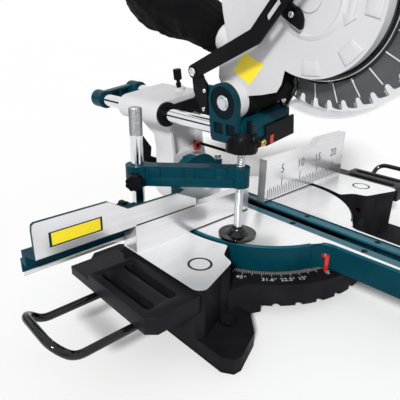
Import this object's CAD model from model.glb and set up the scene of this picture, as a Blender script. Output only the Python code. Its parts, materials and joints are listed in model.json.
# %% [markdown]
# # A sliding mitre saw, dressed
# The CAD model holds every solid and joint of the saw. This lesson loads it as a fixed frame
# and gives each solid its finish, then adds what a solid model leaves out: printed scales,
# cut teeth, threads, ribs, stitches and a soft bag. All sizes are in millimetres until a piece
# is placed, where one matrix turns them into metres.

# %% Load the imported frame
import json
from math import cos, pi, radians, sin

import bmesh
import bpy
from mathutils import Matrix, Vector, noise

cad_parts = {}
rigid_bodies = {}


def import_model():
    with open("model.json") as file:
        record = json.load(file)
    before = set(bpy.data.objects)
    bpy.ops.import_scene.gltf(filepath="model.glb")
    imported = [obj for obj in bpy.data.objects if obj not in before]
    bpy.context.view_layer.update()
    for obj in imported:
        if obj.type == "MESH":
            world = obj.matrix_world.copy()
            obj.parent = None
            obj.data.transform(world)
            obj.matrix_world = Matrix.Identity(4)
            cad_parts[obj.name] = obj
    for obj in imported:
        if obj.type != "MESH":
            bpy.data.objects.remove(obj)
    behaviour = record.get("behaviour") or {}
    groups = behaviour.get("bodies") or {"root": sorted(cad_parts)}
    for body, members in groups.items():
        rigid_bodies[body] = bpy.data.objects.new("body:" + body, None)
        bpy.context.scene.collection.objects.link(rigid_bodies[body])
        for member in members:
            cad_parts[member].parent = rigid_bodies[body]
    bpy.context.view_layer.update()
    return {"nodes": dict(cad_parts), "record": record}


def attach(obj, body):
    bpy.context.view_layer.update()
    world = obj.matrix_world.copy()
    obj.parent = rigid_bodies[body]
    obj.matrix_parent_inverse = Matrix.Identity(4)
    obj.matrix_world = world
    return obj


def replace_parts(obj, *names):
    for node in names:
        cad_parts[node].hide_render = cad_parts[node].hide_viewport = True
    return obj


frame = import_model()
slot_of = {row["node"]: row["material_slot"] for row in frame["record"]["subparts"]}
body_of = {n: body for body, nodes in frame["record"]["behaviour"]["bodies"].items() for n in nodes}

# %% [markdown]
# ## Places
# The saw head leans to one side and is raised on its hinge, so its details are easiest to
# draw flat, in the head's own axes, and then turned into place. Four matrices are enough:
# the bench, the leaned slide, the raised head, and the head seen from the blade's centre.

# %% The four places that details are drawn in
MM = 0.001
METRES = Matrix.Scale(MM, 4)
TABLE_TOP = 85
LEAN, RAISE = 8.5, 46.1
HINGE_Y, HINGE_Z = 10, 175
BLADE_REACH = 169.4
CLAMP_POST = Matrix.Translation((-198, 44, 0))
CLAMP_SCREW_X, CLAMP_SCREW_Y = -105.5, -47.7
bench = Matrix.Identity(4)
slide = Matrix.Translation((0, 0, TABLE_TOP * MM)) @ Matrix.Rotation(radians(-LEAN), 4, "Y")
head = slide @ Matrix.Translation((0, HINGE_Y * MM, HINGE_Z * MM)) @ Matrix.Rotation(radians(-RAISE), 4, "X")
spindle = head @ Matrix.Translation((0, -BLADE_REACH * MM, 0))
print("blade centre at", [round(x, 3) for x in spindle.translation])

# %% [markdown]
# ## Finishes
# Real paint, moulding and machined metal are never one flat colour. Each finish here drifts
# between two close shades, its gloss wanders a little, and a fine grain stands up as bump.
# The pattern reads Object coordinates, so it is fixed to the piece in metres. A Bevel node
# softens the shading at sharp corners, the way paint and tumbling round a real edge.

# %% A finish with drift, gloss and grain
def finish(name, dark, light, rough, metal=0.0, patch=30, grain=900, bump=0.15,
           stretch=(1, 1, 1), edge=0.9, depth=0.15, **sockets):
    material = bpy.data.materials.new(name)
    material.use_nodes = True
    tree = material.node_tree
    shader = tree.nodes["Principled BSDF"]
    shader.inputs["Metallic"].default_value = metal
    for socket, value in sockets.items():
        shader.inputs[socket.replace("_", " ")].default_value = value
    where = tree.nodes.new("ShaderNodeTexCoord")
    turn = tree.nodes.new("ShaderNodeMapping")
    turn.inputs["Scale"].default_value = stretch
    tree.links.new(where.outputs["Object"], turn.inputs["Vector"])

    def cloud(scale, detail, source):
        made = tree.nodes.new("ShaderNodeTexNoise")
        made.inputs["Scale"].default_value = scale
        made.inputs["Detail"].default_value = detail
        tree.links.new(source, made.inputs["Vector"])
        return made.outputs["Fac"]

    ramp = tree.nodes.new("ShaderNodeValToRGB")
    ramp.color_ramp.elements[0].position, ramp.color_ramp.elements[1].position = 0.3, 0.7
    ramp.color_ramp.elements[0].color = (*dark, 1)
    ramp.color_ramp.elements[1].color = (*light, 1)
    tree.links.new(cloud(patch, 5, turn.outputs["Vector"]), ramp.inputs["Fac"])
    tree.links.new(ramp.outputs["Color"], shader.inputs["Base Color"])
    gloss = tree.nodes.new("ShaderNodeMapRange")
    gloss.inputs["From Min"].default_value, gloss.inputs["From Max"].default_value = 0.3, 0.7
    gloss.inputs["To Min"].default_value, gloss.inputs["To Max"].default_value = rough
    tree.links.new(cloud(patch * 4, 3, turn.outputs["Vector"]), gloss.inputs["Value"])
    tree.links.new(gloss.outputs["Result"], shader.inputs["Roughness"])
    bumped = tree.nodes.new("ShaderNodeBump")
    bumped.inputs["Strength"].default_value = bump
    bumped.inputs["Distance"].default_value = depth * MM
    tree.links.new(cloud(grain, 2, turn.outputs["Vector"]), bumped.inputs["Height"])
    if edge:
        soft = tree.nodes.new("ShaderNodeBevel")
        soft.samples = 4
        soft.inputs["Radius"].default_value = edge * MM
        tree.links.new(soft.outputs["Normal"], bumped.inputs["Normal"])
    tree.links.new(bumped.outputs["Normal"], shader.inputs["Normal"])
    return material

print("finish() makes one material from two shades and a grain")

# %% [markdown]
# The saw has nearly thirty finishes: textured black castings, satin teal paint, machined
# tables, pale painted castings, satin and glossy black plastic, chrome, brass and so on.
# The machined faces are metal with long fine scratches, so their noise is stretched.

# %% The finishes of this saw
teal = finish("teal_paint", (0.0004, 0.029, 0.044), (0.0010, 0.038, 0.055), (0.26, 0.36), grain=1400, bump=0.06,
              Specular_IOR_Level=0.07)
teal_rim = finish("teal_rim", (0.0030, 0.058, 0.082), (0.0050, 0.072, 0.100), (0.30, 0.42), grain=1600,
                  bump=0.06, Specular_IOR_Level=0.12)
teal_plate = finish("teal_plate", (0.010, 0.095, 0.130), (0.016, 0.120, 0.158), (0.30, 0.42), grain=1800,
                    bump=0.08, Specular_IOR_Level=0.35)
machined = finish("machined_table", (0.86, 0.86, 0.87), (0.90, 0.90, 0.90), (0.235, 0.255), metal=0.6, patch=6,
                  grain=60, bump=0.005, stretch=(1, 24, 24))
ground = finish("ground_fence", (0.76, 0.76, 0.78), (0.83, 0.83, 0.84), (0.17, 0.25), metal=0.70, patch=6,
                grain=60, bump=0.005, stretch=(1, 30, 30))
black_cast = finish("black_casting", (0.0062, 0.0058, 0.0068), (0.0110, 0.0104, 0.0120), (0.46, 0.60),
                    grain=620, bump=0.5, depth=0.35, Specular_IOR_Level=0.05)
pale_cast = finish("pale_casting", (0.520, 0.518, 0.532), (0.560, 0.558, 0.572), (0.36, 0.48), patch=14,
                   grain=420, bump=0.10)
dark_mould = finish("dark_moulding", (0.0065, 0.0065, 0.0078), (0.0110, 0.0110, 0.0126), (0.36, 0.48),
                    grain=900, bump=0.25, Specular_IOR_Level=0.10)
satin_black = finish("satin_black_plastic", (0.0030, 0.0030, 0.0036), (0.0055, 0.0055, 0.0063), (0.30, 0.42),
                     grain=1100, bump=0.2, Specular_IOR_Level=0.07)
gloss_black = finish("gloss_black_rod", (0.0022, 0.0022, 0.0026), (0.0040, 0.0040, 0.0046), (0.06, 0.11),
                     grain=300, bump=0.05, Specular_IOR_Level=0.4)
rubber = finish("rubber", (0.0035, 0.0035, 0.0035), (0.0062, 0.0062, 0.0062), (0.62, 0.75), grain=1600,
                bump=0.4, Specular_IOR_Level=0.06)
steel = finish("bright_steel", (0.55, 0.56, 0.58), (0.68, 0.69, 0.70), (0.18, 0.30), metal=1.0, patch=60,
               grain=700, bump=0.06)
chrome = finish("chrome", (0.70, 0.71, 0.74), (0.78, 0.79, 0.82), (0.05, 0.10), metal=1.0, patch=40, grain=200,
                bump=0.015)
knurl_steel = finish("knurled_steel", (0.30, 0.31, 0.32), (0.52, 0.53, 0.54), (0.34, 0.46), metal=1.0,
                     patch=420, grain=900, bump=0.3)
zinc = finish("zinc_plate", (0.56, 0.59, 0.62), (0.68, 0.71, 0.73), (0.16, 0.26), metal=1.0, patch=50,
              grain=500, bump=0.05)
blade_steel = finish("blade_steel", (0.008, 0.0077, 0.0092), (0.034, 0.0325, 0.038), (0.30, 0.42), metal=1.0,
                     patch=14, grain=500, bump=0.08)
carbide = finish("carbide", (0.40, 0.40, 0.39), (0.52, 0.52, 0.51), (0.25, 0.35), metal=1.0, grain=1200,
                 bump=0.1)
red = finish("red_plastic", (0.36, 0.010, 0.008), (0.50, 0.018, 0.012), (0.22, 0.32), grain=900, bump=0.08)
brass = finish("turned_brass", (0.56, 0.36, 0.12), (0.70, 0.48, 0.18), (0.18, 0.28), metal=1.0, grain=900,
               bump=0.06)
clear = finish("clear_guard", (0.34, 0.35, 0.38), (0.42, 0.43, 0.46), (0.06, 0.12), grain=400, bump=0.03,
               edge=0, Alpha=0.10)
rib_clear = finish("clear_rib", (0.80, 0.80, 0.82), (0.92, 0.92, 0.93), (0.10, 0.18), grain=400, bump=0.03,
                   edge=0, Alpha=0.5)
ink = finish("black_ink", (0.010, 0.010, 0.011), (0.018, 0.018, 0.020), (0.40, 0.50), edge=0,
             Specular_IOR_Level=0.2)
grey_ink = finish("grey_ink", (0.045, 0.045, 0.05), (0.075, 0.075, 0.08), (0.40, 0.50), edge=0,
                  Specular_IOR_Level=0.2)
white_ink = finish("white_ink", (0.52, 0.52, 0.52), (0.62, 0.62, 0.62), (0.40, 0.50), edge=0,
                   Specular_IOR_Level=0.2)
teal_shade = finish("teal_shade", (0.0002, 0.004, 0.007), (0.0004, 0.006, 0.010), (0.26, 0.36), grain=1400,
                    bump=0.06, Specular_IOR_Level=0.07)
yellow = finish("yellow_film", (0.84, 0.66, 0.010), (0.92, 0.74, 0.018), (0.32, 0.42), edge=0)
fabric = finish("bag_cloth", (0.0016, 0.0015, 0.0018), (0.0042, 0.0039, 0.0046), (0.74, 0.88), patch=18,
                grain=1500, bump=0.5, depth=0.5, edge=0, Sheen_Weight=0.02, Sheen_Roughness=0.45,
                Specular_IOR_Level=0.06)
strip = finish("scale_strip", (0.24, 0.24, 0.245), (0.32, 0.32, 0.325), (0.34, 0.44), metal=0.5, patch=40,
               grain=900, bump=0.05)
print("finishes:", len(bpy.data.materials))

# %% [markdown]
# ## Skins for the solids
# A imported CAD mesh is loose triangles, so it shades as flat facets. Moving it is not allowed
# and not needed: a copy is welded, its flat triangles joined, and its corners marked sharp by
# angle, so that a round rail shades round and an edge stays crisp. Each copy stands for its
# solid and rides on the same body. A rule may give some faces a second finish, as where the
# table is machined on top and painted on its skirt.

# %% A welded copy that stands for its solid
finish_of = {"black_casting": black_cast, "rubber": rubber, "pale_casting": pale_cast,
             "black_plastic": satin_black, "gloss_black": gloss_black, "bright_aluminium": machined,
             "steel": steel, "chrome": chrome, "teal_paint": teal, "red_plastic": red,
             "brass": brass, "smoked_plastic": clear, "bag_fabric": fabric}

def settle(bm, name, body, finishes, crease=35, place=None):
    """Turn a drawn piece into an object on its body; place also takes it from millimetres to metres."""
    if place is not None:
        bm.transform(place @ METRES)
    for face in bm.faces:
        face.smooth = True
    for line in bm.edges:
        line.smooth = len(line.link_faces) == 2 and line.calc_face_angle(0) < radians(crease)
    mesh = bpy.data.meshes.new(name)
    bm.to_mesh(mesh)
    bm.free()
    for material in finishes:
        mesh.materials.append(material)
    made = bpy.data.objects.new(name, mesh)
    bpy.context.scene.collection.objects.link(made)
    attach(made, body)
    return made

def skin(node, main=None, second=None, rule=None, crease=35, shape=None, third=None):
    bm = bmesh.new()
    bm.from_mesh(frame["nodes"][node].data)
    bmesh.ops.remove_doubles(bm, verts=bm.verts, dist=2e-6)
    bmesh.ops.dissolve_limit(bm, angle_limit=radians(0.4), verts=bm.verts, edges=bm.edges)
    bm.normal_update()
    if shape:
        shape(bm)
    for face in bm.faces:
        face.material_index = int(rule(face)) if rule else 0
    finishes = [main or finish_of[slot_of[node]]] + [extra for extra in (second, third) if extra]
    made = settle(bm, node + "_skin", body_of[node], finishes, crease)
    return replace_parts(made, node)

print("skin() is ready for", len(slot_of), "solids")

# %% [markdown]
# The turntable is one casting: painted teal, then faced on a lathe, so only its highest flat
# is bare metal. The sliding fence is the same idea on its front face.

# %% A bevel with eased edges, and faces picked by where they point
def eased(bm, edges, offset, segments, clamp=False):
    bmesh.ops.bevel(bm, geom=edges, offset=offset, affect="EDGES", segments=segments, profile=0.5,
                    material=-1, clamp_overlap=clamp)

def faced_top(face):
    return face.normal.z > 0.99 and face.calc_center_median().z > 84.8 * MM

def faced_front(face):
    return face.normal.y < -0.99 and abs(face.calc_center_median().y) < 0.6 * MM

def on_table_rim(line):
    """A top edge of the turntable whose wall faces outwards, not the one round the insert."""
    if len(line.link_faces) != 2:
        return False
    flat = [f for f in line.link_faces if faced_top(f)]
    wall = [f for f in line.link_faces if abs(f.normal.z) < 0.1]
    middle = (line.verts[0].co + line.verts[1].co) / 2
    out = Vector((middle.x - 5 * MM, 0 if middle.y < -140 * MM else middle.y, 0))
    return bool(flat and wall) and wall[0].normal.dot(out) > 0

def on_arm_corner(line):
    """An upright edge where the round table runs into its arm."""
    a, b = (v.co for v in line.verts)
    return abs(a.x - b.x) + abs(a.y - b.y) < 0.2 * MM and 0.02 < abs(a.x) < 0.075 and -0.16 < a.y < -0.11 \
        and len(line.link_faces) == 2 and line.calc_face_angle(0) > radians(12) \
        and all(abs(f.normal.z) < 0.1 for f in line.link_faces)

print("edges of the turntable can be picked")

# %% The turntable, eased where it was cast and turned
def cast_shoulder(bm):
    for v in bm.verts:
        if v.co.z > 78 * MM and abs(v.co.x - 28.1 * MM) < 0.4 * MM:
            v.co.x -= 1 * MM
        elif v.co.z > 78 * MM and abs(v.co.x + 18.1 * MM) < 0.4 * MM:
            v.co.x -= 5.7 * MM
        elif abs(v.co.x) > 26 * MM and v.co.y < -0.3:
            v.co.x += 3.5 * MM if v.co.x > 0 else -2 * MM
    corners = [e for e in bm.edges if on_arm_corner(e)]
    print("arm corners filleted:", len(corners))
    eased(bm, corners, 9 * MM, 5)
    bm.normal_update()
    rim = [e for e in bm.edges if on_table_rim(e)]
    print("rim edges rounded:", len(rim))
    eased(bm, rim, 2.6 * MM, 3)
    for v in bm.verts:
        out = Vector((v.co.x, v.co.y))
        if v.co.z < 47 * MM and abs(out.length - 138.5 * MM) < 0.6 * MM:
            v.co.x, v.co.y = out * (133.8 / 138.5)
    bm.normal_update()

def table_faces(face):
    """1 for the machined top, 2 for the rounded rim, 0 for the painted skirt."""
    middle = face.calc_center_median()
    return 1 if faced_top(face) else 2 if 0.06 < face.normal.z < 0.99 and middle.z > 81.5 * MM else 0

skin("turntable", teal, machined, table_faces, shape=cast_shoulder, third=teal_rim)

# %% [markdown]
# A few solids differ from the real casting by a millimetre or two. Their copies are corrected
# by moving the points that lie on one plane or one radius, which keeps every face in place.

# %% Corrected copies of the insert, the hinge and the clamp
def wider_slot(bm):
    """The insert and its slot lie a little further left than the solid has them."""
    for v in bm.verts:
        for x, shift in ((-18, -5.7), (-5, -2.2), (7, 5.0), (28, -1)):
            if abs(v.co.x - x * MM) < 0.3 * MM:
                v.co.x += shift * MM
                break

def slim_bolt(bm):
    """The hexagon on the left end gives way to a flanged head that is made further on."""
    for v in bm.verts:
        spot = slide.inverted() @ v.co
        if spot.x < -56.4 * MM:
            middle = Vector((-56.6, HINGE_Y, HINGE_Z)) * MM
            spot.x = middle.x
            v.co = slide @ middle.lerp(spot, 0.6)

def lower_boss(bm):
    for v in bm.verts:
        spot = slide.inverted() @ v.co
        if spot.x < -64.5 * MM:
            v.co = slide @ Vector((-64.4 * MM, spot.y, spot.z))

def shallow_lobes(bm):
    """The clamp knob is nearly round: every rim point moves most of the way to one radius."""
    for v in bm.verts:
        out = Vector((v.co.x - CLAMP_SCREW_X * MM, v.co.y - CLAMP_SCREW_Y * MM))
        if out.length > 12.5 * MM:
            full = (20 if v.co.z < 213.5 * MM else 14.4) * MM
            out *= (full - 0.28 * (full - out.length)) / out.length
            v.co.x, v.co.y = out.x + CLAMP_SCREW_X * MM, out.y + CLAMP_SCREW_Y * MM

def plain_front(bm):
    """The long pocket on the clamp arm is filled, because lands are added in front of it."""
    arm = Matrix.Translation((-198 * MM, 44 * MM, 0)) @ Matrix.Rotation(radians(-44.75), 4, "Z")
    for v in bm.verts:
        spot = arm.inverted() @ v.co
        if abs(spot.y + 6 * MM) < 0.2 * MM and 15 * MM < spot.x < 125 * MM:
            v.co = arm @ Vector((spot.x, -8.95 * MM, spot.z))

skin("kerf_insert", teal_plate, shape=wider_slot)
skin("pivot_bolt", zinc, shape=slim_bolt)
skin("guard_strap", satin_black, shape=lower_boss)
skin("clamp_knob", satin_black, shape=shallow_lobes)
skin("clamp_arm", teal, shape=plain_front)
print("insert, hinge and clamp skinned")

# %% The head, its cover and the clear guard
def slanted_shell(bm):
    """The upper guard slopes towards the cover at the back, so the cover hides its edge."""
    for v in bm.verts:
        spot = spindle.inverted() @ v.co
        out = Vector((spot.y, spot.z))
        turn = out.angle_signed(Vector((1, 0)), 0)
        if -17.5 * MM < spot.x < -14 * MM and 136 * MM < out.length < 147 * MM and radians(10) < turn < radians(88):
            out *= 135.9 * MM / out.length
            v.co = spindle @ Vector((spot.x, out.x, out.y))

def under_wall(face):
    """The wall below the arm, behind the guard's lug, is left black."""
    spot = head.inverted() @ face.calc_center_median() / MM
    facing = head.to_3x3().inverted() @ face.normal
    return -112 < spot.y < -62 and -46 < spot.z < -18 and facing.z < -0.3 and abs(facing.x) < 0.5

skin("head_casting", pale_cast, satin_black, under_wall, shape=slanted_shell)

def low_disc(bm):
    """The disc on the cover lies almost flush; a lip round it is spun further on."""
    for v in bm.verts:
        spot = spindle.inverted() @ v.co
        if abs(spot.x + 40 * MM) < 0.3 * MM or abs(spot.x + 42 * MM) < 0.3 * MM:
            v.co = spindle @ Vector((-36.7 * MM - 0.6 * (-40 * MM - spot.x), spot.y, spot.z))

skin("cover_rings", pale_cast, shape=low_disc)
skin("guard_link", satin_black)
skin("bevel_scale", strip)

def outer_wall(face):
    spot = spindle.inverted() @ face.calc_center_median()
    return Vector((spot.y, spot.z)).length > 131.5 * MM

skin("lower_guard", clear, rib_clear, outer_wall)
print("head and guard skinned")

# %% The fences, the wings and their ends
def shorter_face(bm):
    for v in bm.verts:
        if v.co.y < 4.7 * MM and v.co.x < -353 * MM:
            v.co.x = -356.5 * MM + (v.co.x + 362 * MM) * 0.45

skin("sliding_fence", teal, ground, faced_front, shape=shorter_face)
skin("insert_screws", satin_black)

def round_corners(bm):
    upright = [e for e in bm.edges if abs(e.verts[0].co.z - e.verts[1].co.z) > 5 * MM and len(e.link_faces) == 2
               and e.calc_face_angle(0) > radians(20) and abs(e.verts[0].co.y) > 40 * MM]
    print("plate corners rounded:", len(upright))
    eased(bm, upright, 4.5 * MM, 4, clamp=True)
    bm.normal_update()

def chamfered(bm):
    """The moulded ends have a chamfer round their top and round the slots in it."""
    tops = [e for e in bm.edges if len(e.link_faces) == 2
            and sorted(f.normal.z > 0.9 for f in e.link_faces) == [False, True]
            and min(v.co.z for v in e.verts) > 81.8 * MM]
    print("end edges chamfered:", len(tops))
    eased(bm, tops, 1.7 * MM, 2, clamp=True)
    bm.normal_update()

def plate_wall(face):
    return abs(face.normal.z) < 0.5

def fence_end(face):
    return face.normal.x < -0.5 and abs(face.calc_center_median().x) < 40 * MM

skin("wing_plates", machined, black_cast, plate_wall, shape=round_corners)
skin("wing_ends", dark_mould, shape=chamfered)
skin("fence_left", ground)
skin("fence_right", ground, strip, fence_end)
skin("clamp_foot", gloss_black)
done = {o.name.removesuffix("_skin") for o in bpy.data.objects if o.name.endswith("_skin")}
print("skins with a shape or finish of their own:", len(done))

# %% Skins for the rest
made_elsewhere = {"blade", "dust_bag", "link_bracket", "clamp_screw", "slide_lock_knob", "clamp_post",
                  "guard_lever", "bevel_pointer", "mitre_pointer"}
for node in sorted(set(slot_of) - done - made_elsewhere):
    skin(node)

# %% [markdown]
# ## Turned parts
# Screws, collars and knurled heads are lathe work, so they are made the way a lathe makes
# them: half an outline is drawn beside the axis and spun once round. A cross slot is then
# pressed into the face, and a knurl is cut by pulling every other point of the rim inwards.

# %% Spin an outline, press a cross, cut a knurl
def join(bm, part, place):
    part.transform(place)
    mesh = bpy.data.meshes.new("part")
    part.to_mesh(mesh)
    part.free()
    bm.from_mesh(mesh)
    bpy.data.meshes.remove(mesh)

def verts_of(made):
    """The vertices among what an operator says it made."""
    return [v for v in made["geom"] if isinstance(v, bmesh.types.BMVert)]

def spun(outline, steps=32):
    """A solid of revolution about Z from (radius, height) pairs."""
    part = bmesh.new()
    line = [part.verts.new((r, 0, z)) for r, z in outline]
    edges = [part.edges.new(pair) for pair in zip(line, line[1:])]
    bmesh.ops.spin(part, geom=line + edges, axis=(0, 0, 1), cent=(0, 0, 0), angle=2 * pi, steps=steps,
                   use_merge=True)
    bmesh.ops.remove_doubles(part, verts=part.verts, dist=1e-4)
    bmesh.ops.recalc_face_normals(part, faces=part.faces)
    return part

def cross_screw(r, tall):
    part = spun([(0.14 * r, tall), (0.36 * r, tall), (0.62 * r, 0.96 * tall), (0.86 * r, 0.74 * tall),
                 (r, 0.34 * tall), (r, -0.4)], 24)
    bmesh.ops.contextual_create(part, geom=[e for e in part.edges if e.is_boundary and e.verts[0].co.z > 0])
    part.normal_update()
    arms = []
    for face in part.faces:
        spot = face.calc_center_median()
        turn = 0
        if spot.xy.length > 0.05 * r:
            turn = abs(spot.xy.angle_signed(Vector((1, 0)), 0)) % (pi / 2)
        if spot.z > 0 and spot.xy.length < 0.6 * r and min(turn, pi / 2 - turn) < radians(9):
            arms.append(face)
    sunk = bmesh.ops.extrude_face_region(part, geom=arms)
    bmesh.ops.translate(part, vec=(0, 0, -0.5 * tall), verts=verts_of(sunk))
    bmesh.ops.delete(part, geom=arms, context="FACES_ONLY")
    return part

def knurled(r, low, high, teeth, depth):
    part = spun([(0, high), (r - 1.4, high), (r, high - 1.1), (r, low + 1.1), (r - 1.4, low), (0, low)],
                2 * teeth)
    for v in part.verts:
        if v.co.xy.length > r - 0.2 and round(v.co.xy.angle_signed(Vector((1, 0)), 0) / (pi / teeth)) % 2:
            v.co.x, v.co.y = v.co.x * (1 - depth / r), v.co.y * (1 - depth / r)
    return part

to_left = Matrix.Rotation(radians(-90), 4, "Y")
to_front = Matrix.Rotation(radians(90), 4, "X")
print("a cross screw has", len(cross_screw(4, 2).faces), "faces")

# %% Screws that show on the hinge and the head
bm = bmesh.new()
for u, y, w, r in ((-58.8, 46, 162, 3.2), (-58.8, 41.5, 188, 3.2)):
    join(bm, cross_screw(r, 1.8), Matrix.Translation((u, y, w)) @ to_left)
join(bm, cross_screw(5.8, 2.2), Matrix.Translation((-64.4, 56, 213)) @ to_left)
settle(bm, "hinge_screws", "carriage", [chrome], 35, slide)
bm = bmesh.new()
join(bm, cross_screw(3.6, 2.0), Matrix.Translation((-44, -145.5, 2)) @ to_left)
settle(bm, "bracket_screw", "head", [zinc], 35, head)
print("screws placed")

# %% The hinge bolt: a flange and a hexagon
bolt_seat = Matrix.Translation((-56.5, HINGE_Y, HINGE_Z)) @ to_left
bm = bmesh.new()
join(bm, spun([(0, 1.6), (9.6, 1.6), (10.4, 1.0), (10.4, 0), (0, 0)], 48), bolt_seat)
join(bm, spun([(0, 2.7), (6.8, 2.7), (8.6, 2.2), (8.6, 1.4), (0, 1.4)], 6), bolt_seat)
settle(bm, "hinge_bolt_head", "carriage", [zinc], 25, slide)
bm = bmesh.new()
bmesh.ops.create_cube(bm, size=1, matrix=Matrix.Translation((-56.1, 10.5, 140)) @ Matrix.Diagonal((0.5, 44, 22,
                                                                                                   1)))
eased(bm, bm.edges[:], 0.12, 1)
settle(bm, "ear_window_plate", "carriage", [teal_shade], 30, slide)
bm = bmesh.new()
join(bm, spun([(10, 1.2), (21.6, 1.2), (21.6, 0.2), (10, 0.2)], 48),
     Matrix.Translation((-55.7, HINGE_Y, HINGE_Z)) @ to_left)
settle(bm, "ear_dish_floor", "carriage", [teal_shade], 30, slide)
print("hinge bolt made")

# %% The round front of the hinge bracket
bm = bmesh.new()
join(bm, spun([(0, -50.2), (12.6, -50.2), (14, -48.8), (14, 44.6), (12.6, 46), (0, 46)], 40),
     Matrix.Translation((0, -3, 136)) @ Matrix.Rotation(radians(90), 4, "Y"))
settle(bm, "bracket_front_bar", "carriage", [teal], 35, slide)
print("bracket bar made")

# %% The slide lock: a knurled thumbscrew
thumbscrew = Matrix.Translation((18, 190, 0))
bm = bmesh.new()
join(bm, knurled(6.9, 171.5, 189.5, 18, 0.7), thumbscrew)
join(bm, spun([(0, 172.5), (3.2, 172.5), (3.2, 166.5), (4.7, 166), (4.7, 162.2), (3.8, 161.6), (3.8, 143),
               (0, 143)]), thumbscrew)
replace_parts(settle(bm, "slide_thumbscrew", "slide_lock", [satin_black], 25, slide),
            "slide_lock_knob")
print("thumbscrew made")

# %% [markdown]
# ## The clamp
# The post is plain bar with a diamond knurl on its grip, and the spindle carries a trapezoid
# thread. A thread is one short outline swept round and up: spin takes a step along the axis
# with every step round it. The arm gets the raised lands of its casting on the front face.

# %% Post, spindle and lands
bm = bmesh.new()
join(bm, spun([(0, 218.5), (7.9, 218.5), (7.9, 12.5), (7.2, 11.6), (0, 11.6)], 48), CLAMP_POST)
grip = spun([(0, 252.6), (6.4, 252.6), (7.4, 251.9)] + [(7.7, 251 - 1.3 * k) for k in range(26)] + [(7.0, 218),
                                                                                                    (0, 218)],
            48)
for v in grip.verts:
    if v.co.xy.length > 7.6:
        row = round((251 - v.co.z) / 1.3) + round(v.co.xy.angle_signed(Vector((1, 0)), 0) / (pi / 24))
        push = 1.055 if row % 2 else 0.985
        v.co.x, v.co.y = v.co.x * push, v.co.y * push
for face in grip.faces:
    face.material_index = 1
join(bm, grip, CLAMP_POST)
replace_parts(settle(bm, "clamp_post_knurled", "clamp_column", [chrome, knurl_steel], 28, bench),
            "clamp_post")

bm = bmesh.new()
pitch, turns, low = 3.0, 37, 91.0
tooth = [bm.verts.new((r, 0, low + z)) for r, z in ((4.5, 0), (4.5, 0.9), (5.45, 1.4), (5.45, 2.5), (4.5, 3.0))]
crest = [bm.edges.new(pair) for pair in zip(tooth, tooth[1:])]
bmesh.ops.spin(bm, geom=tooth + crest, axis=(0, 0, 1), cent=(0, 0, 0), angle=2 * pi * turns, steps=20 * turns,
               dvec=(0, 0, pitch / 20), use_merge=False)
bmesh.ops.remove_doubles(bm, verts=bm.verts, dist=0.01)
bmesh.ops.recalc_face_normals(bm, faces=bm.faces)
join(bm, spun([(0, 206.5), (4.6, 206.5), (4.6, 90), (0, 90)], 24), Matrix.Identity(4))
bm.transform(METRES @ Matrix.Translation((CLAMP_SCREW_X, CLAMP_SCREW_Y, 0)))
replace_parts(settle(bm, "clamp_spindle_thread", "clamp_spindle", [zinc], 40), "clamp_screw")

arm = CLAMP_POST @ Matrix.Rotation(radians(-44.75), 4, "Z")
bm = bmesh.new()
for x0, x1, z0, z1 in ((16, 122, 156, 167.5), (16, 30, 167, 180), (60, 73, 167, 180), (99, 113, 167, 180)):
    bmesh.ops.create_cube(bm, size=1, matrix=Matrix.Translation(((x0 + x1) / 2, -9.6, (z0 + z1) / 2))
                          @ Matrix.Diagonal((x1 - x0, 2.4, z1 - z0, 1)))
eased(bm, bm.edges[:], 0.8, 2)
bm.transform(METRES @ arm)
settle(bm, "clamp_arm_lands", "clamp_beam", [teal], 40)
print("clamp dressed")

# %% [markdown]
# ## The bevel pointer and its scale
# A red pointer with a rounded top is screwed to the leaning arm and reads against a curved
# strip. The ticks are fine slips laid round the strip, one every five degrees.

# %% Pointer and ticks
def plate(bm, path, u0, u1, soft):
    """A flat outline of (y, z) pairs given thickness from u0 to u1, with softened edges."""
    part = bmesh.new()
    flat = part.faces.new([part.verts.new((u0, y, z)) for y, z in path])
    grown = bmesh.ops.extrude_face_region(part, geom=[flat])
    bmesh.ops.translate(part, vec=(u1 - u0, 0, 0), verts=verts_of(grown))
    bmesh.ops.recalc_face_normals(part, faces=part.faces)
    eased(part, part.edges[:], soft, 2)
    join(bm, part, Matrix.Identity(4))

arch = [(18.5 + 8 * cos(radians(a)), 60 + 7.5 * sin(radians(a))) for a in range(0, 181, 15)]
bm = bmesh.new()
plate(bm, arch + [(10.5, 54), (16.5, 52.6), (19, 50.4), (23.5, 51.4), (26.5, 53)], 159.9, 156.4, 0.7)
bm.transform(Matrix(((0, 1, 0, 0), (1, 0, 0, 0), (0, 0, 1, 0), (0, 0, 0, 1))))
bmesh.ops.recalc_face_normals(bm, faces=bm.faces)
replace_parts(settle(bm, "bevel_pointer_plate", "tilt_arm", [red], 30, slide), "bevel_pointer")
bm = bmesh.new()
join(bm, cross_screw(3.6, 1.8), Matrix.Translation((18, 156.4, 59.5)) @ to_front)
settle(bm, "bevel_pointer_screw", "tilt_arm", [satin_black], 30, slide)
bm = bmesh.new()
for step in range(-4, 42, 5):
    ray = Matrix.Rotation(radians(-step), 4, "Y") @ Matrix.Translation((0, 148 if step % 10 == 1 else 150,
                                                                        51.1))
    bmesh.ops.create_cube(bm, size=1, matrix=ray @ Matrix.Diagonal((0.7, 12 if step % 10 == 1 else 8, 0.15, 1)))
settle(bm, "bevel_ticks", "table", [ink], 30, Matrix.Translation((0, 0, TABLE_TOP * MM)))
print("pointer and bevel ticks made")

# %% [markdown]
# ## The blade
# A saw blade is a thin disc with forty hooked teeth. One tooth and its gullet are drawn as a
# single flat face, a sector of nine degrees, and spin repeats it round the arbor. Every fifth
# gullet runs on into a narrow slot with a round end, which lets the hot rim grow.

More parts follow.
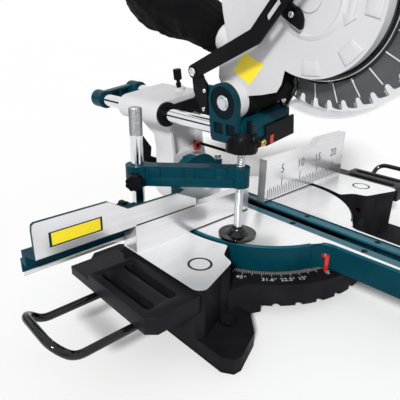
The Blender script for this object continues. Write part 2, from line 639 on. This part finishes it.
# %% One tooth, spun forty times
def drawn(bm, path, x=0.0):
    """A flat face in the plane across the spindle, from (degrees, radius) pairs."""
    spots = [bm.verts.new((x, r * cos(radians(a)), r * sin(radians(a)))) for a, r in path]
    return bm.faces.new(spots)

plain_tooth = [(0, 15), (0, 118.6), (0, 127.2), (1.6, 126.8), (4.3, 125.6), (5.3, 123.8), (5.5, 121.0),
               (5.8, 118.2),
               (6.4, 116.4), (7.4, 115.7), (8.5, 116.6), (9, 118.6), (9, 15)]
slotted_tooth = plain_tooth[:8] + [(6.4, 116.4), (7.05, 115.9), (7.0, 99), (6.6, 97.6), (6.7, 96), (7.3, 95.2),
                                   (7.9, 96), (8.0, 97.6), (7.6, 99), (7.65, 115.8)] + plain_tooth[10:]
bm = bmesh.new()
for turn in range(8):
    for tooth in range(5):
        path = slotted_tooth if tooth == 2 else plain_tooth
        drawn(bm, [(a + 9 * (5 * turn + tooth), r) for a, r in path], x=-0.9)
bmesh.ops.remove_doubles(bm, verts=bm.verts, dist=0.01)
far_side = bmesh.ops.extrude_face_region(bm, geom=bm.faces[:])
bmesh.ops.translate(bm, vec=(1.8, 0, 0), verts=verts_of(far_side))
bmesh.ops.recalc_face_normals(bm, faces=bm.faces)
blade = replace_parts(settle(bm, "blade_plate", "saw_blade", [blade_steel], 30, spindle), "blade")
print("blade faces:", len(blade.data.polygons))

# %% Carbide tips, one small bevelled block per tooth
bm = bmesh.new()
bmesh.ops.create_cube(bm, size=1, matrix=Matrix.Translation((0, 123.9, 0.9)) @ Matrix.Diagonal((2.6, 7.0, 1.8,
                                                                                                1)))
eased(bm, bm.edges[:], 0.25, 1)
bmesh.ops.spin(bm, geom=bm.verts[:] + bm.edges[:] + bm.faces[:], axis=(1, 0, 0), cent=(0, 0, 0),
               angle=radians(351), steps=39, use_duplicate=True)
settle(bm, "carbide_tips", "saw_blade", [carbide], 30, spindle)
print("tips placed round the rim")

# %% [markdown]
# ## The clear guard
# The lower guard is clear moulded plastic, stiffened by thin ribs that stand like spokes on
# its face. A clear part is hard to see, so the ribs do most of the work: they catch light.
# Each is a slim block, turned about the spindle into its place in the row, and bevelled.

# %% Ribs on both faces of the guard
bm = bmesh.new()
for side in (-1, 1):
    for k in range(9):
        lean = Matrix.Rotation(radians(-27 - 14.4 * k), 4, "X") @ Matrix.Translation((side * 15.3, 102, 0))
        lean = lean @ Matrix.Rotation(radians(-6), 4, "X")
        bmesh.ops.create_cube(bm, size=1, matrix=lean @ Matrix.Diagonal((0.9, 27, 1.3, 1)))
eased(bm, bm.edges[:], 0.25, 1)
settle(bm, "guard_ribs", "guard", [rib_clear], 30, spindle)
print("guard ribs: 18")

# %% The guard's black hub ring and its lug
def polar(r, a):
    return (r * cos(radians(a)), r * sin(radians(a)))

bm = bmesh.new()
outer = [polar(93, -150 + 3 * k) for k in range(43)]
plate(bm, outer + [polar(85, -24 - 3 * k) for k in range(43)], -15.1, -18.0, 0.7)
boss = polar(127.2, -21.8)
rounded = [(boss[0] + 8.2 * cos(radians(a)), boss[1] + 8.2 * sin(radians(a))) for a in range(-96, 61, 12)]
plate(bm, [polar(92.5, -26.5), polar(106, -28.4)] + rounded + [polar(119, -16.6), polar(106.4, -14.8),
                                                               polar(92.5, -17.2)], -15.1, -18.6, 1.0)
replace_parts(settle(bm, "guard_hub_ring", "guard", [gloss_black], 30, spindle), "guard_lever")
bm = bmesh.new()
plate(bm, [polar(90.4, -149 + 3 * k) for k in range(42)] + [polar(89.0, -26 - 3 * k) for k in range(42)], -17.9,
      -18.8, 0.4)
settle(bm, "guard_ring_bead", "guard", [chrome], 60, spindle)
bm = bmesh.new()
join(bm, cross_screw(3.8, 1.0), Matrix.Translation((-18.6, *boss)) @ to_left)
settle(bm, "guard_lug_screw", "guard", [chrome], 35, spindle)
print("guard ring and lug made")

# %% The bracket that carries the guard link
bm = bmesh.new()
plate(bm, [(-149.6, 15.5), (-151.9, 8.7), (-153.5, 1.4), (-153.1, -5.2), (-150, -11), (-145.7, -14.5),
           (-141.2, -16.7),
           (-138, -4.1), (-135.1, 9.8), (-136.6, 17.8)], -36.05, -44, 1.2)
join(bm, spun([(0, 58.6), (2.2, 58.6), (2.8, 58), (2.8, 43), (0, 43)], 20),
     Matrix.Translation((0, -155.4, 13.7)) @ to_left)
plate(bm, [(-158.5, 10), (-158.5, 17), (-147, 17.5), (-147, 9)], -42, -45, 0.8)
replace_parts(settle(bm, "link_bracket_tab", "head", [satin_black], 30, head), "link_bracket")
print("link bracket made")

# %% [markdown]
# ## The hinge sleeve
# A ribbed rubber sleeve hides the hinge barrel under the head. It is one wavy outline spun
# about the hinge, so it looks the same however far the head is lowered.

# %% Spin the ribbed sleeve
bm = bmesh.new()
wave = [(26.1 + (0.8 if k % 2 else 0.0), -34 + 1.75 * k) for k in range(40)]
join(bm, spun([(24, -34)] + wave + [(24, 34.3)], 48), Matrix.Rotation(radians(90), 4, "Y"))
settle(bm, "hinge_sleeve", "head", [rubber], 20, head)
print("sleeve spun")

# %% [markdown]
# ## The blade cover
# The pale cover carries low square pads and a turning arrow, cast in one with it. A pad is a
# piece of a ring: a flat sector face, inset once and pushed out, so that it gets soft sides.

# %% Raised pads and the turning arrow
def raised(bm, path, x, height, draft):
    flat = drawn(bm, path, x)
    bm.normal_update()
    if flat.normal.x > 0:
        flat.normal_flip()
    wall = bmesh.ops.extrude_face_region(bm, geom=[flat])
    bmesh.ops.translate(bm, vec=(-height, 0, 0), verts=verts_of(wall))
    top = [f for f in wall["geom"] if isinstance(f, bmesh.types.BMFace)]
    eased(bm, [e for f in top for e in f.edges], draft, 2)

bm = bmesh.new()
for start in (-54.8, -95.8, -136.8, -177.8):
    arc = [(start + 18 * k / 4, 80.5) for k in range(5)] + [(start + 18 - 18 * k / 4, 63.5) for k in range(5)]
    raised(bm, arc, -35.9, 1.6, 1.0)
sweep = [(-150 + 37 * k / 6, 53.5) for k in range(7)] + [(-113, 57), (-100, 49.5), (-113, 42)] \
    + [(-113 - 37 * k / 6, 45.5) for k in range(7)]
raised(bm, sweep, -35.9, 1.3, 0.6)
join(bm, spun([(36.2, 0.0), (36.8, 1.4), (37.6, 2.0), (38.6, 2.0), (43.6, 0.0)], 64),
     Matrix.Translation((-36.0, 0, 0)) @ to_left)
bmesh.ops.recalc_face_normals(bm, faces=bm.faces)
settle(bm, "cover_pads", "head", [pale_cast], 40, spindle)
print("cover pads and arrow made")

# %% [markdown]
# ## Printed scales
# The mitre scale is printed on the black apron, and the fence is engraved in centimetres.
# Ink has almost no height, so every mark is a slip of mesh a tenth of a millimetre thick.
# Numbers begin as text, become mesh, and only then are turned into their place.

# %% Marks and numbers
def slip(bm, place, width, length, height=0.12):
    bmesh.ops.create_cube(bm, size=1, matrix=place @ Matrix.Diagonal((width, length, height, 1)))

def number(bm, words, size, place):
    letters = bpy.data.curves.new("letters", "FONT")
    letters.body, letters.size = words, size
    letters.align_x = letters.align_y = "CENTER"
    letters.extrude, letters.resolution_u = 0.06, 3
    holder = bpy.data.objects.new("letters", letters)
    bpy.context.scene.collection.objects.link(holder)
    mesh = bpy.data.meshes.new_from_object(holder.evaluated_get(bpy.context.evaluated_depsgraph_get()))
    mesh.transform(place)
    bm.from_mesh(mesh)
    bpy.data.objects.remove(holder)
    bpy.data.meshes.remove(mesh)
    bpy.data.curves.remove(letters)

zero = -103.4
ledge = 45.75
bm = bmesh.new()
for degree in range(-50, 51):
    long = 11.5 if degree % 5 == 0 else 7.0
    ray = Matrix.Rotation(radians(zero + degree), 4, "Z")
    slip(bm, ray @ Matrix.Translation((134.6 + long / 2, 0, ledge)), long, 0.5)
for degree, words in ((0, "0"), (15, "15"), (22.5, "22.5"), (31.6, "31.6"), (45, "45")):
    for side in ((1, -1) if degree else (1,)):
        ray = Matrix.Rotation(radians(zero + side * degree), 4, "Z")
        number(bm, words + "\u00b0", 9.5, ray @ Matrix.Translation((153.6, 0,
                                                                    ledge)) @ Matrix.Rotation(radians(90), 4,
                                                                                              "Z"))
settle(bm, "mitre_scale", "base", [white_ink], 30, bench)
print("mitre scale printed")

# %% Centimetres on the right fence
bm = bmesh.new()
upright = Matrix.Rotation(radians(90), 4, "X")
for mark in range(15, 235, 5):
    high = 30 if mark % 50 == 0 else 19 if mark % 10 == 0 else 16
    slip(bm, Matrix.Translation((mark + 1, -0.05, 89 + high / 2)) @ upright, 1.7, high)
for mark in (50, 100, 150, 200):
    number(bm, str(mark // 10), 20, Matrix.Translation((mark + 1, -0.05, 133)) @ upright)
settle(bm, "fence_scale", "base", [grey_ink], 30, bench)
print("fence scale engraved")

# %% [markdown]
# ## Plain patches
# Thin self-adhesive films sit on the sliding fence and on the hinge casting, and a ring is
# stamped on each wing plate. They stay plain: a film with a fine border and nothing printed.

# %% Films and rings
def film(name, corners, place, body, border):
    bm = bmesh.new()
    flat = bm.faces.new([bm.verts.new(c) for c in corners])
    bmesh.ops.inset_region(bm, faces=[flat], thickness=border, use_even_offset=True)
    for face in bm.faces:
        face.material_index = 0 if face is flat else 1
    bmesh.ops.solidify(bm, geom=bm.faces[:], thickness=-0.12)
    bmesh.ops.recalc_face_normals(bm, faces=bm.faces)
    return settle(bm, name, body, [yellow, ink], 30, place)

film("fence_film", [(-337, 1.0, 131.5), (-280, 1.0, 131.5), (-280, 1.0, 145.5), (-337, 1.0, 145.5)], bench,
     "fence_slide", 0.8)
film("casting_film", [(-36.15, -28.8, 25.4), (-36.15, -60.7, 25.1), (-36.15, -72.0, -4.5),
                      (-36.15, -36.5, -6.0)], head, "head", 0.9)
bm = bmesh.new()
for x, y in ((-193.8, -70), (201.4, -62.2)):
    ring = bmesh.ops.create_circle(bm, segments=40, radius=15, cap_ends=False,
                                   matrix=Matrix.Translation((x, y, 85.02)))
    rim = bmesh.ops.extrude_edge_only(bm, edges=list({e for v in ring["verts"] for e in v.link_edges}))
    new = verts_of(rim)
    bmesh.ops.translate(bm, vec=(-x, -y, 0), verts=new)
    bmesh.ops.scale(bm, vec=(11.9 / 15, 11.9 / 15, 1), verts=new)
    bmesh.ops.translate(bm, vec=(x, y, 0), verts=new)
bmesh.ops.solidify(bm, geom=bm.faces[:], thickness=0.1)
bmesh.ops.recalc_face_normals(bm, faces=bm.faces)
settle(bm, "plate_rings", "base", [ink], 30, bench)
bm = bmesh.new()
for x0, x1 in ((9.5, 147), (-147, -30.5)):
    slip(bm, Matrix.Translation(((x0 + x1) / 2, -0.1, 86.1)) @ upright, x1 - x0, 2.0)
settle(bm, "fence_foot_gap", "base", [ink], 30, bench)
print("films and rings placed")

# %% [markdown]
# Under the sliding fence runs a channel with a bright lip. It hangs behind the fixed fence and
# behind the fixed fence's own rib, so that nothing meets when the fence slides.

# %% The seam, the channel and its lip
bm = bmesh.new()
slip(bm, Matrix.Translation((-186, -0.1, 122.1)) @ upright, 94, 1.7)
settle(bm, "slider_seam", "fence_slide", [ink], 30, bench)

def bar(bm, low, high, soft):
    """A straight bar between two corners, with its edges eased."""
    made = bmesh.ops.create_cube(bm, size=1, matrix=Matrix.Translation((Vector(low) + Vector(high)) / 2)
                                 @ Matrix.Diagonal((*(Vector(high) - Vector(low)), 1)))
    edges = list({e for v in made["verts"] for e in v.link_edges})
    eased(bm, edges, soft, 2)

bm = bmesh.new()
bar(bm, (-361.5, 21, 110), (-202, 31, 113), 0.5)
bar(bm, (-361.5, 28.4, 96), (-202, 31, 112), 0.5)
settle(bm, "slider_channel", "fence_slide", [teal], 35, bench)
bm = bmesh.new()
bar(bm, (-361.5, 27.3, 91.4), (-202, 31, 96.8), 0.8)
settle(bm, "slider_lip", "fence_slide", [machined], 35, bench)
print("channel and lip made")

# %% [markdown]
# The red mitre pointer is a bent tongue: a round tab under a screw, and a narrow strip that
# hangs in front of the scale. A spun disc and one eased bar make it.

# %% The mitre pointer
bm = bmesh.new()
join(bm, spun([(0, 67.2), (4.6, 67.2), (5.2, 67.8), (5.2, 69.4), (4.6, 70), (0, 70)]),
     Matrix.Translation((-1.2, -1.5, 0)))
bar(bm, (-2.8, -6.2, 46.4), (2.8, -3.4, 69.4), 0.7)
corner = Matrix.Translation((-34.6, -141.4, 0)) @ Matrix.Rotation(radians(-37.5), 4, "Z")
bm.transform(METRES @ corner)
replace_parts(settle(bm, "mitre_pointer_tongue", body_of["mitre_pointer"], [red], 35),
            "mitre_pointer")
bm = bmesh.new()
join(bm, cross_screw(2.3, 0.9), corner @ Matrix.Translation((-1.2, -1.5, 70)))
settle(bm, "mitre_pointer_screw", body_of["mitre_pointer"], [chrome], 35, bench)
print("mitre pointer made")

# %% [markdown]
# Two more castings finish the lower half. A web closes the corner between each front foot and
# the apron, with a front wall that leans back as it rises. A glossy dome sits on the clamp foot
# round the end of the screw.

# %% Corner webs and the dome on the clamp foot
bm = bmesh.new()
for side in (1, -1):
    plan = [(-168, -100), (-156, -101), (-146, -102.5), (-136, -106), (-125, -111), (-114, -100), (-138, -74),
            (-160, -74), (-168, -80)]
    floor_face = bm.faces.new([bm.verts.new((side * x, y, 6)) for x, y in plan])
    risen = verts_of(bmesh.ops.extrude_face_region(bm, geom=[floor_face]))
    bmesh.ops.translate(bm, vec=(0, 0, 39.3), verts=risen)
    bmesh.ops.translate(bm, vec=(0, 8.5, 0), verts=[v for v in risen if v.co.y < -99 and abs(v.co.x) > 130])
bmesh.ops.recalc_face_normals(bm, faces=bm.faces)
settle(bm, "corner_webs", "base", [black_cast], 40, bench)
bm = bmesh.new()
join(bm, spun([(5.6, 8.0), (10.6, 8.8), (10.2, 11.0), (8.6, 12.8), (6.9, 13.6), (5.6, 13.8)]),
     Matrix.Translation((CLAMP_SCREW_X, CLAMP_SCREW_Y, 85.3)))
settle(bm, "clamp_foot_dome", body_of["clamp_foot"], [gloss_black], 40, bench)
print("webs and dome made")

# %% [markdown]
# ## The dust bag
# The bag is sewn cloth held on the spout by its cuff. It is lofted: one ring of points is
# extruded along the bag and scaled at each step, then the points are pushed in and out by
# folds that gather at the cuff, and the belly sags towards the floor.

# %% The pale spout that the bag is pulled over
bag = head @ Matrix.Translation((6 * MM, -24 * MM, 71 * MM)) @ Matrix.Rotation(radians(64), 4, "X")
bm = bmesh.new()
join(bm, spun([(17, -14), (18.6, -14), (19.2, -4), (19.6, 12), (19.6, 21), (18.8, 22), (17, 22)], 48),
     Matrix.Rotation(radians(-90), 4, "X"))
settle(bm, "spout_collar", "head", [pale_cast], 35, bag)
print("spout collar made")

# %% Loft the bag and fold its cloth
stations = [(22, 20.0), (16, 20.1), (14.4, 20.7), (15.6, 21.6), (19, 25.5), (24, 29), (31, 31.2), (40, 32.8),
            (52, 34.6), (66, 37), (82, 39.6), (100, 42),
            (118, 44), (136, 45.5), (154, 46), (172, 45.2), (188, 42.5), (200, 37), (208, 29), (212, 18), (213,
                                                                                                           7)]
down = (bag.to_3x3().inverted() @ Vector((0, 0, -1))).normalized()
bm = bmesh.new()
ring = bmesh.ops.create_circle(bm, segments=96, radius=1, cap_ends=False,
                               matrix=Matrix.Rotation(radians(90), 4, "X"))["verts"]
edges = list({e for v in ring for e in v.link_edges})
bmesh.ops.scale(bm, vec=(stations[0][1], 1, stations[0][1]), verts=ring)
bmesh.ops.translate(bm, vec=(0, stations[0][0], 0), verts=ring)
for (y0, r0), (y1, r1) in zip(stations, stations[1:]):
    grown = bmesh.ops.extrude_edge_only(bm, edges=edges)["geom"]
    ring = [v for v in grown if isinstance(v, bmesh.types.BMVert)]
    edges = [e for e in grown if isinstance(e, bmesh.types.BMEdge)]
    bmesh.ops.scale(bm, vec=(r1 / r0, 1, r1 / r0), verts=ring)
    bmesh.ops.translate(bm, vec=(0, y1 - y0, 0), verts=ring)
bmesh.ops.contextual_create(bm, geom=edges)
bmesh.ops.subdivide_edges(bm, edges=[e for e in bm.edges if abs(e.verts[0].co.y - e.verts[1].co.y) > 4.5],
                          cuts=2, use_grid_fill=True)

def crease(spot):
    """Ridged noise: sharp crests between soft hollows, as in slack cloth."""
    return (1 - abs(noise.noise(spot))) ** 3

for v in bm.verts:
    y, r = v.co.y, Vector((v.co.x, v.co.z)).length
    if r < 1:
        continue
    out = Vector((v.co.x, 0, v.co.z)).normalized()
    turn = Vector((out.x, out.z)).angle_signed(Vector((1, 0)), 0)
    slack = min(1, max(0, (y - 20) / 40)) * min(1, r / 30)
    fold = 5 * noise.noise(Vector((out.x * 1.3, y / 60, out.z * 1.3))) \
        + 5.5 * (crease(Vector((out.x * 1.5 + y / 90, y / 45, out.z * 1.5))) - 0.45) \
        + 2.2 * (crease(Vector((out.x * 3.2, y / 22 + 5, out.z * 3.2 + y / 60))) - 0.45)
    gather = 1.5 * sin(15 * turn + 2 * sin(3 * turn)) * max(0, 1 - abs(y - 30) / 22)
    piping = 1.4 if min(abs(turn), pi - abs(turn)) < 0.02 and y > 30 else 0
    lift = 10 * min(1, max(0, (y - 15) / 90)) ** 0.5
    v.co += out * (fold * slack + gather + piping) - down * lift
bmesh.ops.recalc_face_normals(bm, faces=bm.faces)
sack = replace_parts(settle(bm, "dust_bag_cloth", "head", [fabric], 180, bag), "dust_bag")
smooth = sack.modifiers.new("sewn_curve", "SUBSURF")
smooth.levels = smooth.render_levels = 1
print("bag faces:", len(sack.data.polygons))

# %% [markdown]
# ## Stage, light and camera
# The saw stands on a pale floor under one soft sun and an even sky. The world shows white to
# the camera and to reflections, and a middle grey to everything else, so that the background
# is white while the colours on the saw stay as written.

# %% Floor and world
scene = bpy.context.scene
bm = bmesh.new()
bmesh.ops.create_circle(bm, segments=96, radius=8, cap_ends=True)
mesh = bpy.data.meshes.new("floor")
bm.to_mesh(mesh)
bm.free()
floor = bpy.data.objects.new("floor", mesh)
scene.collection.objects.link(floor)
paper = finish("floor_paper", (0.97, 0.97, 0.97), (0.985, 0.985, 0.985), (0.85, 0.95), patch=2, grain=200,
               bump=0.0, edge=0, Specular_IOR_Level=0.0)
mesh.materials.append(paper)

world = bpy.data.worlds.new("studio")
scene.world = world
world.use_nodes = True
tree = world.node_tree
tree.nodes.clear()
ray = tree.nodes.new("ShaderNodeLightPath")
either = [tree.nodes.new("ShaderNodeMath") for _ in range(2)]
for step in either:
    step.operation = "MAXIMUM"
tree.links.new(ray.outputs["Is Camera Ray"], either[0].inputs[0])
tree.links.new(ray.outputs["Is Glossy Ray"], either[0].inputs[1])
tree.links.new(either[0].outputs[0], either[1].inputs[0])
tree.links.new(ray.outputs["Is Transmission Ray"], either[1].inputs[1])
sky = [tree.nodes.new("ShaderNodeBackground") for _ in range(2)]
sky[0].inputs["Color"].default_value = (1, 1, 1, 1)
sky[0].inputs["Strength"].default_value = 0.40
sky[1].inputs["Color"].default_value = (1, 1, 1, 1)
sky[1].inputs["Strength"].default_value = 1.0
choose = tree.nodes.new("ShaderNodeMixShader")
tree.links.new(either[1].outputs[0], choose.inputs["Fac"])
tree.links.new(sky[0].outputs[0], choose.inputs[1])
tree.links.new(sky[1].outputs[0], choose.inputs[2])
tree.links.new(choose.outputs[0], tree.nodes.new("ShaderNodeOutputWorld").inputs["Surface"])
scene.view_settings.view_transform = "Standard"
print("floor and world ready")

# %% Black flags for the chrome
# A studio flag is a black card that only shows as a dark streak in polished metal.
flag_black = finish("flag_black", (0.004, 0.004, 0.004), (0.008, 0.008, 0.008), (0.8, 0.9), grain=100, bump=0,
                    edge=0, Specular_IOR_Level=0.0)
for name, middle, wide, high, facing in (("flag_bench", (-0.47, -0.46, 0.004), 0.42, 0.40, (0, 0, 1)),
                                         ("flag_low", (-1.3, 1.5, 0.33), 2.0, 0.52, (1.3, -1.4, 0)),
                                         ("flag_high", (-0.95, 1.75, 1.8), 2.0, 0.16, (0.95, -1.65, -1.6))):
    bm = bmesh.new()
    bmesh.ops.create_grid(bm, x_segments=1, y_segments=1, size=0.5, matrix=Matrix.Diagonal((wide, high, 1, 1)))
    aim = Vector(facing).to_track_quat("Z", "Y").to_matrix().to_4x4()
    bm.transform(Matrix.Translation(middle) @ aim)
    mesh = bpy.data.meshes.new(name)
    bm.to_mesh(mesh)
    bm.free()
    mesh.materials.append(flag_black)
    flag = bpy.data.objects.new(name, mesh)
    scene.collection.objects.link(flag)
    flag.visible_camera = flag.visible_diffuse = flag.visible_shadow = flag.visible_transmission = False
print("flags: 3")

# %% Sun and camera
sun = bpy.data.objects.new("sun", bpy.data.lights.new("sun", "SUN"))
sun.data.energy, sun.data.angle = 3.5, radians(9)
sun.rotation_euler = Vector((0.70, 0.45, -0.555)).to_track_quat("-Z", "Y").to_euler()
scene.collection.objects.link(sun)

focal_px, width_px = 430.69, 400
azimuth, elevation, roll = radians(-43.18), radians(22.27), radians(0.96)
back = Vector((sin(azimuth) * cos(elevation), -cos(azimuth) * cos(elevation), sin(elevation)))
right = Vector((cos(azimuth), sin(azimuth), 0))
up = back.cross(right)
turned = Matrix((cos(roll) * right + sin(roll) * up, cos(roll) * up - sin(roll) * right,
                 back)).transposed().to_4x4()
camera = bpy.data.objects.new("camera", bpy.data.cameras.new("camera"))
camera.data.sensor_width, camera.data.lens = 36, 36 * focal_px / width_px
camera.matrix_world = Matrix.Translation((-0.49545, -0.38962, 0.34616)) @ turned
camera.data.clip_start = 0.01
scene.collection.objects.link(camera)
scene.camera = camera
print("camera at", [round(x, 3) for x in camera.location])
